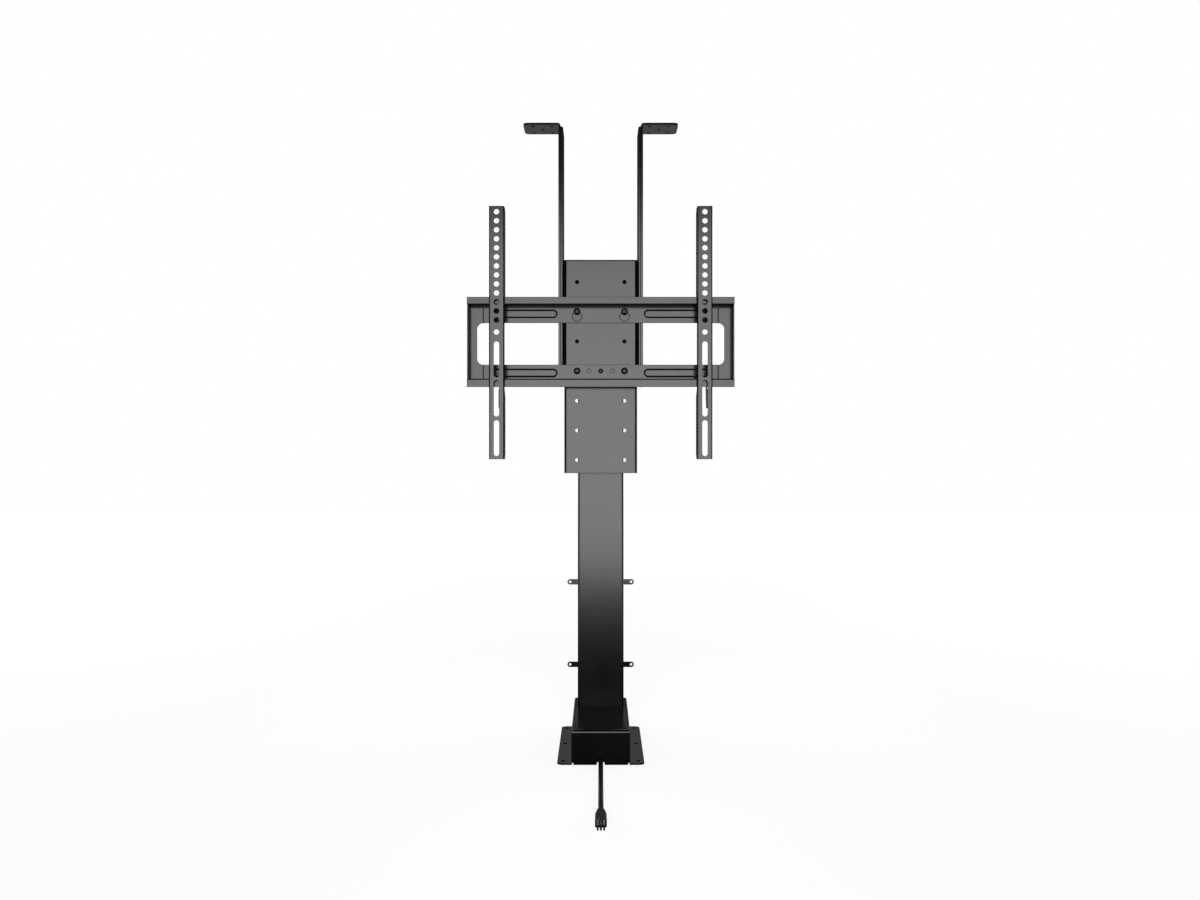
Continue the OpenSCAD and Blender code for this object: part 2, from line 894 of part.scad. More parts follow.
// Rail section, upper or lower: web behind, flange forward and a lip away from the window
module rail_lip_section(lip) {
    square_l = rail_d - 2 * rail_bend;
    translate([plate_front - rail_bend, -rail_bend]) fold(rail_bend, rail_sheet);
    translate([rail_front + rail_bend, -rail_sheet]) square([square_l, rail_sheet]);
    translate([rail_front + rail_bend, rail_bend - rail_sheet]) rotate(180) fold(rail_bend, rail_sheet);
    translate([rail_front, rail_bend - rail_sheet]) square([rail_sheet, lip - rail_bend + rail_sheet]);
}

// Pressed rib with round ends and sloping sides that stands out from y0 towards -Y
module bead(z, y0, skirt) {
    half = bead_h / 2;
    straight = (bead_l - bead_h) / 2;
    both_sides() translate([bead_x, y0, z]) {
        along_x(-straight, straight) polygon([
            [skirt, -half], [0, -half], [-bead_rise, bead_slope - half],
            [-bead_rise, half - bead_slope], [0, half], [skirt, half]
        ]);
        both_sides() translate([straight, 0, 0]) rotate([0, 90, 0]) rotate([90, 0, 0])
            rotate_extrude(angle = 180) polygon([
                [0, -skirt], [half, -skirt], [half, 0], [half - bead_slope, bead_rise], [0, bead_rise]
            ]);
    }
}

module rail_strip(z0, z1) {
    along_y(rail_face, plate_front) translate([-end_seam, z0]) square([2 * end_seam, z1 - z0]);
}

module rail_upper_channel() {
    color(paint) difference() {
        union() {
            rail_strip(window_mid + window_h / 2, rail_top - rail_bend);
            bead(bead_rows[1], rail_face, rail_sheet / 4);
            along_x(-rail_w / 2, rail_w / 2) translate([0, rail_top]) rail_lip_section(upper_lip);
        }
        bead(bead_rows[1], plate_front, past);
        for (x = [-1, 1]) translate([x * plate_hole_x, 0, 0]) {
            rod_y(rail_face - past, plate_front + past, 0, upper_row, stud_d + 6 * seat_gap);
            rod_y(rail_face - past, plate_front + past, 0, upper_row - keyhole_drop, keyhole_d);
        }
    }
}

module rail_lower_channel() {
    color(paint) difference() {
        union() {
            rail_strip(rail_bottom + rail_bend, window_mid - window_h / 2);
            bead(bead_rows[0], rail_face, rail_sheet / 4);
            along_x(-rail_w / 2, rail_w / 2) translate([0, rail_bottom]) mirror([0, 1])
                rail_lip_section(lower_lip);
        }
        bead(bead_rows[0], plate_front, past);
        for (x = [-1, 1]) {
            rod_y(rail_face - past, plate_front + past, x * plate_hole_x, lower_row, stud_d + 6 * seat_gap);
            rod_y(rail_face - past, plate_front + past, x * spare_hole_x, lower_row, spare_hole_d);
        }
        rod_y(rail_face - past, plate_front + past, 0, lower_row, centre_screw_d + 4 * seat_gap);
    }
}

// Upright plate that closes the right end of the rail, with a lap behind the seam
module rail_end() {
    reach = rail_w / 2 - end_seam - seam_gap;
    depth = rail_d - rail_sheet - 2 * seat_gap;
    color(paint) difference() {
        along_z(rail_bottom + rail_bend, rail_top - rail_bend) translate([end_seam + seam_gap, plate_front]) {
            translate([0, -rail_sheet]) square([reach - rail_bend, rail_sheet]);
            difference() {
                translate([-seam_lap, 0]) square([2 * seam_lap, lap_t]);
                translate([-seam_gap / 2, 0]) rotate(45) square(seam_gap, center = true);
            }
            translate([reach - rail_bend, -rail_bend]) fold(rail_bend, rail_sheet);
            translate([reach - rail_sheet, -depth]) square([rail_sheet, depth - rail_bend]);
        }
        along_y(rail_face - past, plate_front + lap_t + past)
            translate([0, window_mid]) rounded_rect([2 * window_x, window_h], window_corner);
    }
}

module rail_end_right() {
    rail_end();
}

module rail_end_left() {
    mirror([1, 0, 0]) rail_end();
}

module rail_bolts() {
    color(satin) rail_bolt_places()
        pan_screw_y(0, 0, rail_face, stud_head_d, stud_head_h, stud_d, bracket_back + nut_t + 0.5);
}

module rail_nuts() {
    color(zinc) rail_bolt_places()
        nut_y(0, 0, bracket_back, bracket_back + nut_t, stud_nut, stud_d + seat_gap);
}

module rail_centre_screw() {
    color(satin)
        pan_screw_y(0, lower_row, rail_face, centre_head_d, centre_head_h, centre_screw_d, bracket_back);
}

// Lid supports

module lid_upright() {
    height = upright_z[1] - upright_z[0];
    color(paint) difference() {
        along_y(lid_y[0], lid_y[1]) translate([upright_x, upright_z[0]]) {
            square([lid_sheet, height - upright_round]);
            translate([upright_round, 0]) square([lid_sheet - upright_round, height]);
            translate([upright_round, height - upright_round]) intersection() {
                circle(upright_round);
                translate([-upright_round, 0]) square(upright_round);
            }
        }
        lid_bolt_places([lid_fixed_z, lid_clamp_z])
            rod_x(upright_x - past, upright_x + lid_sheet + past, 0, 0, lid_bolt_d + 4 * seat_gap);
    }
}

module lid_upright_right() {
    lid_upright();
}

module lid_upright_left() {
    mirror([1, 0, 0]) lid_upright();
}

module lid_spacers() {
    color(zinc) lid_bolt_places([lid_fixed_z, lid_clamp_z]) difference() {
        rod_x(plate_w / 2, upright_x, 0, 0, 2.4 * lid_bolt_d);
        rod_x(plate_w / 2 - past, upright_x + past, 0, 0, lid_bolt_d + 4 * seat_gap);
    }
}

module lid_upright_bolts() {
    seat = plate_w / 2 - plate_sheet;
    color(satin) lid_bolt_places([lid_fixed_z]) translate([seat, 0, 0]) rotate([0, -90, 0])
        cap_screw(upright_x + lid_sheet - seat, lid_bolt_d, lid_bolt_d + 4, 3.5);
}

module lid_clamp_bolts() {
    seat = leg_x + lid_sheet + slide_gap;
    thread_end = plate_w / 2 - plate_sheet - nut_t - 0.5;
    color(satin) lid_bolt_places([lid_clamp_z]) translate([seat, 0, 0]) rotate([0, 90, 0])
        cap_screw(seat - thread_end, lid_bolt_d, 2 * lid_bolt_d, 4);
}

module lid_clamp_nuts() {
    seat = plate_w / 2 - plate_sheet;
    color(zinc) lid_bolt_places([lid_clamp_z]) difference() {
        translate([seat - nut_t, 0, 0]) rotate([0, 90, 0]) cylinder(d = stud_nut, h = nut_t, $fn = 6);
        rod_x(seat - nut_t - past, seat + past, 0, 0, lid_bolt_d + seat_gap);
    }
}

module lid_plate_outline() {
    width = lid_reach - leg_x;
    translate([leg_x, lid_y[0]]) {
        square([width - lid_corner, lid_d]);
        translate([0, lid_corner]) square([width, lid_d - 2 * lid_corner]);
        for (y = [lid_corner, lid_d - lid_corner])
            translate([width - lid_corner, y]) circle(lid_corner);
    }
}

module lid_bracket() {
    slot_w = lid_bolt_d + 8 * seat_gap;
    half = lid_hole_pitch / 2;
    width = lid_reach - leg_x;
    height = lid_top - leg_bottom;
    color(paint) difference() {
        intersection() {
            along_y(lid_y[0], lid_y[1]) translate([leg_x, leg_bottom]) {
                square([lid_sheet, height - lid_bend]);
                translate([lid_bend, height - lid_bend]) rotate(90) fold(lid_bend, lid_sheet);
                translate([lid_bend, height - lid_sheet]) square([width - lid_bend, lid_sheet]);
            }
            along_z(leg_bottom, lid_top) lid_plate_outline();
        }
        along_x(leg_x - past, leg_x + lid_sheet + past) for (y = lid_bolt_y)
            translate([y, lid_clamp_z - lid_travel / 2]) rotate(90) slot(lid_travel + slot_w, slot_w);
        for (spot = [[-half, -half], [-half, half], [half, -half], [half, half], [0, 0]])
            translate([lid_hole_x + spot[0], lid_mid_y + spot[1], lid_top])
                rod_z(-lid_sheet - past, past, 0, 0, lid_hole_d);
    }
}

module lid_bracket_right() {
    lid_bracket();
}

module lid_bracket_left() {
    mirror([1, 0, 0]) lid_bracket();
}

// Television arms

// Side view of an arm: deep above and below the rail, cut back at the rail, with a hook over the upper lip
module arm_side() {
    lip_top = rail_top + upper_lip + slide_gap;
    lip_end = rail_bottom - lower_lip - 3;
    step = arm_back - arm_seat;
    polygon([
        [arm_front, arm_bottom], [arm_back - arm_nose, arm_bottom], [arm_back, arm_bottom + arm_nose],
        [arm_back, lip_end - step], [arm_seat, lip_end], [arm_seat, lip_top], [arm_hook, lip_top],
        [arm_hook, rail_top + slide_gap], [arm_back - 4, rail_top + slide_gap], [arm_back, rail_top + 4],
        [arm_back, arm_top - arm_nose], [arm_back - arm_nose, arm_top], [arm_front, arm_top]
    ]);
}

module arm_openings() {
    for (i = [0:arm_holes - 1])
        translate([0, arm_first - i * arm_pitch]) circle(d = arm_hole_d);
    translate([0, single_hole_z]) circle(d = arm_hole_d);
    for (ends = arm_slots)
        translate([0, (ends[0] + ends[1]) / 2]) rotate(90) slot(ends[1] - ends[0], arm_hole_d);
}

module tv_arm(x) {
    color(paint) translate([x, 0, 0]) difference() {
        intersection() {
            along_z(arm_bottom, arm_top) translate([0, arm_back]) rotate(180)
                channel(arm_w, arm_back - arm_front, arm_sheet, arm_bend);
            along_x(-arm_w / 2, arm_w / 2) arm_side();
        }
        along_y(arm_front - past, arm_web + past) arm_openings();
        rod_x(arm_w / 2 - arm_sheet - past, arm_w / 2 + past, catch_y, catch_z, catch_pin_d + seat_gap);
    }
}

module tv_arm_left() {
    tv_arm(-arm_spacing / 2);
}

module tv_arm_right() {
    tv_arm(arm_spacing / 2);
}

module catch_pin(x) {
    color(zinc) translate([x, 0, 0]) rod_x(catch_x - catch_t / 2, arm_w / 2, catch_y, catch_z, catch_pin_d);
}

module catch_pin_left() {
    catch_pin(-arm_spacing / 2);
}

module catch_pin_right() {
    catch_pin(arm_spacing / 2);
}

// Lever that turns on its pin, with a hook that stands behind the rail's lower lip
module catch_side() {
    lip_back = rail_front + rail_sheet + 2 * slide_gap;
    heel = 5;
    shoulder = rail_bottom - lower_lip - 4;
    polygon(concat(
        [for (a = [180:15:360]) [catch_y, catch_z] + heel * [cos(a), sin(a)]],
        [
            [lip_back + 7, shoulder - 8], [lip_back + 7, shoulder + 6], [lip_back + 2, shoulder + 12],
            [lip_back, shoulder + 10], [lip_back, shoulder],
            [catch_y - heel + 3, shoulder], [catch_y - heel, shoulder - 3]
        ]
    ));
}

module safety_catch(x) {
    color(moulding) translate([x, 0, 0]) difference() {
        along_x(catch_x - catch_t / 2, catch_x + catch_t / 2) catch_side();
        rod_x(0, arm_w / 2, catch_y, catch_z, catch_pin_d + running);
    }
}

module safety_catch_left() {
    safety_catch(-arm_spacing / 2);
}

module safety_catch_right() {
    safety_catch(arm_spacing / 2);
}

// Cable, lying on the floor towards the viewer

// Flange or neck of the gland: half-round above the cable and cut off flat below it
module gland_section(w) {
    translate([0, gland_low]) round_arch(w, gland_z - gland_low + w / 2);
}

module cable_gland() {
    flange = gland_w + 2;
    color(moulding) {
        along_y(-base_rear, -rear_inside) gland_section(gland_w - 2 * seat_gap);
        along_y(-rear_inside, -rear_inside + 3) gland_section(flange);
        along_y(gland_front, -base_rear) gland_section(flange);
        translate([0, gland_front, gland_z]) rotate([90, 0, 0]) rotate_extrude() polygon([
            [0, 0], [5, 0], [5, 2.5], [4.5, 3], [4.5, 4.5], [4.9, 5], [4.9, 7], [4.3, 7.5], [4.3, 9],
            [4.6, 9.5], [4.6, 11], [0, 11]
        ]);
    }
}

module inner_lead() {
    color(moulding) swept_tube(lead_route, lead_d, cable_sides);
}

module motor_cable() {
    color(moulding) swept_tube(cable_route, cable_d, cable_sides);
}

module plug_section() {
    translate([0, plug_h / 2]) rounded_rect([plug_w, plug_h], 2.5);
}

// Side view of the plug's body, with a rounded edge at the top of its front
module plug_side() {
    length = plug_rear - plug_taper - plug_front;
    translate([plug_front, 0]) {
        square([length, plug_h - plug_edge]);
        translate([plug_edge, 0]) square([length - plug_edge, plug_h]);
        translate([plug_edge, plug_h - plug_edge]) circle(plug_edge);
    }
}

module plug_window_places() {
    for (x = [-1, 1])
        translate([x * prong_pitch, plug_front, plug_window_z]) children();
}

module cable_plug() {
    slice = 0.5;
    groove = [2.4, 3, plug_h];
    prong = [2.6, prong_l + past, 2.6];
    color(moulding) {
        hull() {
            along_y(plug_rear - slice, plug_rear) translate([0, plug_h / 2]) rounded_rect(plug_neck, 2.5);
            along_y(plug_rear - plug_taper - slice, plug_rear - plug_taper) plug_section();
        }
        difference() {
            intersection() {
                along_y(plug_front, plug_rear - plug_taper) plug_section();
                along_x(-plug_w / 2, plug_w / 2) plug_side();
            }
            plug_window_places() translate([-plug_window[0] / 2, -past, 0]) cube(plug_window + [0, past, 0]);
            translate([-groove[0] / 2, plug_front - past, plug_window_z]) cube(groove + [0, past, 0]);
        }
        for (x = [-1, 0, 1])
            translate([x * prong_pitch - prong[0] / 2, plug_front - prong_l, 0.2]) cube(prong);
    }
}

module plug_contacts() {
    recess = 0.8;
    strip = plug_window - [0.6, recess, 0.6];
    color(zinc) plug_window_places() translate([-strip[0] / 2, recess, 0.3]) cube(strip);
}

base_housing();
foot_plate();
outer_tube();
outer_tube_collar();
rear_strap_lower();
rear_strap_upper();
strap_screws();
motor_can();
motor_flange();
gearbox_case();
gearbox_lid();
gearbox_screws();
screw_bearing();
worm_bushes();
cable_gland();
inner_lead();
motor_cable();
cable_plug();
plug_contacts();
worm_shaft();
worm_wheel();
drive_screw();
middle_tube();
middle_tube_collar();
middle_foot_glide();
middle_nut();
upper_screw_retainer();
upper_screw();
inner_tube();
inner_foot_glide();
inner_nut();
inner_tube_cap();
head_bracket();
head_bolts();
plate_inserts();
mount_plate();
rail_upper_channel();
rail_lower_channel();
rail_end_left();
rail_end_right();
rail_bolts();
rail_nuts();
rail_centre_screw();
lid_upright_left();
lid_upright_right();
lid_spacers();
lid_upright_bolts();
lid_clamp_bolts();
lid_clamp_nuts();
lid_bracket_left();
lid_bracket_right();
tv_arm_left();
tv_arm_right();
catch_pin_left();
catch_pin_right();
safety_catch_left();
safety_catch_right();
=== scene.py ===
import json
import math

import bmesh
import bpy
from mathutils import Matrix, Vector


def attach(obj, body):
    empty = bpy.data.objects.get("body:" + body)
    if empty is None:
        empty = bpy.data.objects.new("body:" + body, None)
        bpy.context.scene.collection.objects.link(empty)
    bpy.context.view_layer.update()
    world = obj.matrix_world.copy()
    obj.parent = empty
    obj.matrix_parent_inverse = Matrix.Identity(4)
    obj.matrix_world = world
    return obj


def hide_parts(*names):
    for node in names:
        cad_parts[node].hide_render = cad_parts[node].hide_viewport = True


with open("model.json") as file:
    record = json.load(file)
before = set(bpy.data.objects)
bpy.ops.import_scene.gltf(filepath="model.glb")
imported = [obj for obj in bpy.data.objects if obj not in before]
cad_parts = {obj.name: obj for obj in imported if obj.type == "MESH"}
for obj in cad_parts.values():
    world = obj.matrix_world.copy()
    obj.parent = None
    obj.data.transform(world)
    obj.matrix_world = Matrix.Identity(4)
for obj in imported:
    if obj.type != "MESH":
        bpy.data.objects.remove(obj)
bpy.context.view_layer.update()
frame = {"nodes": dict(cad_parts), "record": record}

mm = 0.001
scene = bpy.context.scene
scene.view_settings.view_transform = "Standard"
bodyNodes = frame["record"]["behaviour"]["bodies"]
slotOf = {part["node"]: part["material_slot"] for part in frame["record"]["subparts"]}
print("frame loaded,", len(frame["nodes"]), "nodes")


def newObject(name, data):
    made = bpy.data.objects.new(name, data)
    scene.collection.objects.link(made)
    return made


# camera, level and square to the front, a little below the middle of the rail
cameraSpec = {"place": (-0.0012, -1.590, 0.503), "lens": 28, "sensor": 36}

cameraData = bpy.data.cameras.new("viewer")
cameraData.sensor_fit = "HORIZONTAL"
cameraData.sensor_width = cameraSpec["sensor"]
cameraData.lens = cameraSpec["lens"]
viewer = newObject("viewer", cameraData)
viewer.location = cameraSpec["place"]
viewer.rotation_euler = (math.pi / 2, 0, 0)
scene.camera = viewer
print("camera placed")


# motor cable: out of the gland, down to the floor and straight towards the viewer
cableSpec = {
    "diameter": 7.5 * mm,
    "length": 0.193,
    "stepsAlong": 6, "stepsRound": 6,
    "route": [  # y and z in mm, x is 0
        (-114, 11), (-120, 11), (-127, 10.2), (-134, 8.6), (-141, 6.7), (-148, 5.1), (-155, 4.2),
        (-163, 3.8), (-176, 3.8), (-190, 3.8), (-204, 3.8), (-218, 3.8), (-232, 3.8), (-246, 3.8),
        (-258, 3.8), (-268, 4), (-277, 4.5), (-286, 5.2), (-294, 5.8), (-300, 6), (-306, 6),
    ],
}


def cableCurve(spec):
    curve = bpy.data.curves.new("cable_sheath", "CURVE")
    curve.dimensions = "3D"
    spline = curve.splines.new("BEZIER")
    spline.bezier_points.add(len(spec["route"]) - 1)
    for point, (y, z) in zip(spline.bezier_points, spec["route"]):
        point.co = (0, y * mm, z * mm)
        point.handle_left_type = "AUTO"
        point.handle_right_type = "AUTO"
    spline.resolution_u = spec["stepsAlong"]
    curve.bevel_depth = spec["diameter"] / 2
    curve.bevel_resolution = spec["stepsRound"]
    curve.use_fill_caps = True
    return newObject("cable_sheath", curve)


cableSheath = cableCurve(cableSpec)
print("cable laid")


# shader maths as Python expressions
class Wire:
    def __init__(self, tree, socket=None):
        self.tree = tree
        self.socket = socket

    def node(self, kind, settings=None, sockets=None, out=0):
        made = self.tree.nodes.new(kind)
        for name, value in (settings or {}).items():
            setattr(made, name, value)
        for name, value in (sockets or {}).items():
            if isinstance(value, Wire):
                self.tree.links.new(value.socket, made.inputs[name])
            else:
                made.inputs[name].default_value = value
        return Wire(self.tree, made.outputs[out])

    def other(self, out):
        return Wire(self.tree, self.socket.node.outputs[out])

    def maths(self, operation, first, second):
        return self.node("ShaderNodeMath", {"operation": operation}, {0: first, 1: second})

    def __add__(self, value):
        return self.maths("ADD", self, value)

    def __radd__(self, value):
        return self.maths("ADD", value, self)

    def __sub__(self, value):
        return self.maths("SUBTRACT", self, value)

    def __rsub__(self, value):
        return self.maths("SUBTRACT", value, self)

    def __mul__(self, value):
        return self.maths("MULTIPLY", self, value)

    def __rmul__(self, value):
        return self.maths("MULTIPLY", value, self)

    def __abs__(self):
        return self.maths("ABSOLUTE", self, 0)

    # noise lies about one half, so this swings to both sides of nothing
    def swing(self, amount):
        return (self - 0.5) * amount

    def average(self, value):
        return 0.5 * self + 0.5 * value

    def between(self, low, high):
        return self.node(
            "ShaderNodeMapRange", {"clamp": True},
            {"Value": self, "From Min": low, "From Max": high, "To Min": 0.0, "To Max": 1.0},
        )

    def tint(self, plain, full):
        return self.node(
            "ShaderNodeMix", {"data_type": "RGBA"},
            {0: self, 6: rgba(plain), 7: rgba(full)}, out=2,
        )


def rgba(colour):
    if isinstance(colour, Wire):
        return colour
    if isinstance(colour, (int, float)):
        colour = (colour, colour, colour)
    return (*colour, 1)


# a grain is given as its size in mm, its detail and its stretch, and relief as strength and mm;
# Range is where a grain goes from none to full, and Rough how much it changes the roughness
class Finish:
    def __init__(self, name, fixed):
        self.material = bpy.data.materials.new(name)
        self.material.use_nodes = True
        self.surface = self.material.node_tree.nodes["Principled BSDF"]
        self.wire = Wire(self.material.node_tree)
        self.place = self.wire.node("ShaderNodeTexCoord", out="Object")
        for socket, value in fixed.items():
            self.surface.inputs[socket].default_value = value

    def grain(self, size, detail, stretch=(1, 1, 1), roughness=0.55):
        spread = self.wire.node(
            "ShaderNodeMapping", {"vector_type": "POINT"},
            {"Vector": self.place, "Scale": tuple(1 / s for s in stretch)},
        )
        return self.wire.node(
            "ShaderNodeTexNoise", {"noise_dimensions": "3D"},
            {"Vector": spread, "Scale": 1 / (size * mm), "Detail": detail, "Roughness": roughness},
        )

    # bevelled faces carry an attribute from the bevel, the mask for edge wear and for painted edge
    # highlights
    def edges(self):
        return self.wire.node(
            "ShaderNodeAttribute",
            {"attribute_type": "GEOMETRY", "attribute_name": "bevel_faces"}, out="Fac",
        )

    def vary(self, **sockets):
        for socket, value in sockets.items():
            target = self.surface.inputs[socket.replace("_", " ")]
            self.wire.tree.links.new(value.socket, target)

    def relief(self, height, strength, depth):
        bump = self.wire.node(
            "ShaderNodeBump", {}, {"Height": height, "Strength": strength, "Distance": depth * mm},
        )
        self.vary(Normal=bump)


# satin black powder coat on folded sheet: faint orange peel, and paler patches on the bevelled
# edges that are partly thinner, worn coat and partly a painted highlight
powderSpec = {
    "fixed": {"Specular IOR Level": 0.42, "Metallic": 0.0},
    # edge is the paler colour of the edge patches: partly worn coat, partly a painted highlight
    "shade": 0.0030, "paler": 0.0048, "dusty": 0.01056, "edge": 0.012, "roughness": 0.19,
    "drift": (60, 3), "driftRange": (0.3, 0.7), "driftRough": 0.05,
    "dust": (0.45, 1), "dustRange": (0.66, 0.78), "dustRough": 0.06, "dustShare": 0.5,
    "wear": (9, 3), "wearRange": (0.35, 0.7), "wearRough": 0.05, "wearShare": 0.8,
    "peel": (1.1, 2), "relief": (0.1, 0.05),
}


def powderCoat(spec):
    finish = Finish("satin_powder_coat", spec["fixed"])
    drift = finish.grain(*spec["drift"])
    dust = finish.grain(*spec["dust"]).between(*spec["dustRange"])
    # patches along the bevelled edges, partly thin worn coat and partly a painted highlight
    worn = finish.edges() * finish.grain(*spec["wear"]).between(*spec["wearRange"])
    coat = drift.between(*spec["driftRange"]).tint(spec["shade"], spec["paler"])
    coat = (dust * spec["dustShare"]).tint(coat, spec["dusty"])
    specks = dust * spec["dustRough"] + worn * spec["wearRough"]
    finish.vary(
        Base_Color=(worn * spec["wearShare"]).tint(coat, spec["edge"]),
        Roughness=spec["roughness"] + drift.swing(spec["driftRough"]) + specks,
    )
    finish.relief(finish.grain(*spec["peel"]), *spec["relief"])
    return finish.material


# smooth enamel on the drawn tubes, with long draw marks
enamelSpec = {
    "fixed": {"Specular IOR Level": 0.42, "Metallic": 0.0},
    "shade": 0.0035, "paler": 0.006, "edge": 0.015, "roughness": 0.21,
    "draw": (1.6, 3, (1, 1, 160)), "drawRough": 0.12,
    "drift": (45, 2), "driftRough": 0.05, "coatRange": (0.35, 0.65),
    "wear": (7, 3), "wearRange": (0.35, 0.7),
    "relief": (0.06, 0.04),
}


def tubeEnamel(spec):
    finish = Finish("drawn_tube_enamel", spec["fixed"])
    draw = finish.grain(*spec["draw"])
    drift = finish.grain(*spec["drift"])
    worn = finish.edges() * finish.grain(*spec["wear"]).between(*spec["wearRange"])
    coat = draw.average(drift).between(*spec["coatRange"]).tint(spec["shade"], spec["paler"])
    marks = draw.swing(spec["drawRough"]) + drift.swing(spec["driftRough"])
    finish.vary(Base_Color=worn.tint(coat, spec["edge"]), Roughness=spec["roughness"] + marks)
    finish.relief(draw, *spec["relief"])
    return finish.material


# black oxide on screws and bolts, rubbed to bare steel on the edges
oxideSpec = {
    "fixed": {"Specular IOR Level": 0.4},
    "shade": 0.004, "paler": 0.009, "edge": 0.03, "roughness": 0.26,
    "mottle": (1.4, 4), "mottleRange": (0.3, 0.7), "mottleRough": 0.2,
    "wear": (2.5, 3), "wearRange": (0.3, 0.65), "wearShare": 0.7,
    "metal": 0.25, "bareMetal": 0.6,
    "fine": (0.25, 2), "relief": (0.08, 0.03),
}


def blackOxide(spec):
    finish = Finish("black_oxide", spec["fixed"])
    mottle = finish.grain(*spec["mottle"])
    worn = finish.edges() * finish.grain(*spec["wear"]).between(*spec["wearRange"])
    coat = mottle.between(*spec["mottleRange"]).tint(spec["shade"], spec["paler"])
    finish.vary(
        Base_Color=(worn * spec["wearShare"]).tint(coat, spec["edge"]),
        Metallic=spec["metal"] + worn * spec["bareMetal"],
        Roughness=spec["roughness"] + mottle.swing(spec["mottleRough"]),
    )
    finish.relief(finish.grain(*spec["fine"]), *spec["relief"])
    return finish.material


# bright zinc with a faint blue and straw passivate
zincSpec = {
    "fixed": {"Metallic": 1.0},
    "blue": (0.56, 0.59, 0.63), "straw": (0.66, 0.63, 0.55), "roughness": 0.3,
    "cloud": (6, 3), "cloudRange": (0.35, 0.7), "cloudRough": 0.18,
    "fine": (0.3, 2), "fineRough": 0.1, "relief": (0.06, 0.02),
}


def zincPlate(spec):
    finish = Finish("zinc_plate", spec["fixed"])
    cloud = finish.grain(*spec["cloud"])
    fine = finish.grain(*spec["fine"])
    marks = cloud.swing(spec["cloudRough"]) + fine.swing(spec["fineRough"])
    finish.vary(
        Base_Color=cloud.between(*spec["cloudRange"]).tint(spec["blue"], spec["straw"]),
        Roughness=spec["roughness"] + marks,
    )
    finish.relief(fine, *spec["relief"])
    return finish.material


# oiled steel of the screws and the worm shaft, turned in fine rings
steelSpec = {
    "fixed": {"Metallic": 1.0},
    "dry": (0.42, 0.42, 0.43), "oiled": (0.30, 0.29, 0.27), "roughness": 0.24,
    "film": (14, 3), "filmRange": (0.35, 0.65), "filmRough": 0.1,
    "rings": (0.35, 2, (40, 40, 1)), "ringsRough": 0.2, "relief": (0.15, 0.03),
}


def turnedSteel(spec):
    finish = Finish("turned_steel", spec["fixed"])
    rings = finish.grain(*spec["rings"])
    film = finish.grain(*spec["film"])
    marks = rings.swing(spec["ringsRough"]) + film.swing(spec["filmRough"])
    finish.vary(
        Base_Color=film.between(*spec["filmRange"]).tint(spec["dry"], spec["oiled"]),
        Roughness=spec["roughness"] + marks,
    )
    finish.relief(rings, *spec["relief"])
    return finish.material


# cast and turned light alloy of the motor and gearbox
castSpec = {
    "fixed": {"Metallic": 1.0},
    "shade": (0.33, 0.34, 0.35), "paler": (0.44, 0.45, 0.46), "roughness": 0.48,
    "stain": (18, 3), "stainRange": (0.3, 0.7),
    "skin": (0.8, 4), "skinRough": 0.2, "relief": (0.25, 0.12),
}


def castAlloy(spec):
    finish = Finish("cast_alloy", spec["fixed"])
    skin = finish.grain(*spec["skin"])
    stain = finish.grain(*spec["stain"])
    finish.vary(
        Base_Color=stain.between(*spec["stainRange"]).tint(spec["shade"], spec["paler"]),
        Roughness=spec["roughness"] + skin.swing(spec["skinRough"]),
    )
    finish.relief(skin, *spec["relief"])
    return finish.material


# machined bronze of the worm wheel and bushes
bronzeSpec = {
    "fixed": {"Metallic": 1.0},
    "fresh": (0.62, 0.40, 0.17), "dull": (0.38, 0.24, 0.11), "roughness": 0.3,
    "haze": (5, 4), "hazeRange": (0.4, 0.7), "hazeRough": 0.15,
    "cut": (0.3, 2, (12, 12, 1)), "cutRough": 0.2, "relief": (0.12, 0.03),
}


def machinedBronze(spec):
    finish = Finish("machined_bronze", spec["fixed"])
    haze = finish.grain(*spec["haze"])
    cut = finish.grain(*spec["cut"])
    marks = cut.swing(spec["cutRough"]) + haze.swing(spec["hazeRough"])
    finish.vary(
        Base_Color=haze.between(*spec["hazeRange"]).tint(spec["fresh"], spec["dull"]),
        Roughness=spec["roughness"] + marks,
    )
    finish.relief(cut, *spec["relief"])
    return finish.material


# natural moulded plastic of the spindle nuts
nutSpec = {
    "fixed": {"Metallic": 0.0, "Specular IOR Level": 0.5},
    "shade": (0.62, 0.58, 0.47), "paler": (0.72, 0.69, 0.60), "roughness": 0.42,
    "cloud": (12, 3), "cloudRange": (0.3, 0.7),
    "skin": (0.4, 2), "skinRough": 0.12, "relief": (0.1, 0.04),
}


def naturalPlastic(spec):
    finish = Finish("natural_plastic", spec["fixed"])
    cloud = finish.grain(*spec["cloud"])
    skin = finish.grain(*spec["skin"])
    finish.vary(
        Base_Color=cloud.between(*spec["cloudRange"]).tint(spec["shade"], spec["paler"]),
        Roughness=spec["roughness"] + skin.swing(spec["skinRough"]),
    )
    finish.relief(skin, *spec["relief"])
    return finish.material


# black moulded plastic with a fine spark texture and a painted highlight along its bevelled edges
mouldSpec = {
    "fixed": {"Metallic": 0.0, "Specular IOR Level": 0.34},
    # edge and its share give the painted highlight on the bevelled edges
    "shade": 0.008, "paler": 0.014, "edge": 0.02, "edgeHighlightShare": 0.7, "roughness": 0.4,
    "flow": (16, 2), "flowRange": (0.3, 0.7),
    "spark": (0.32, 3), "sparkRough": 0.2, "relief": (0.22, 0.05),
}


def blackMoulding(spec):
    finish = Finish("black_moulding", spec["fixed"])
    spark = finish.grain(*spec["spark"])
    flow = finish.grain(*spec["flow"])
    coat = flow.between(*spec["flowRange"]).tint(spec["shade"], spec["paler"])
    # the bevelled edges are paler everywhere along them: a painted highlight
    finish.vary(
        Base_Color=(finish.edges() * spec["edgeHighlightShare"]).tint(coat, spec["edge"]),
        Roughness=spec["roughness"] + spark.swing(spec["sparkRough"]),
    )
    finish.relief(spark, *spec["relief"])
    return finish.material


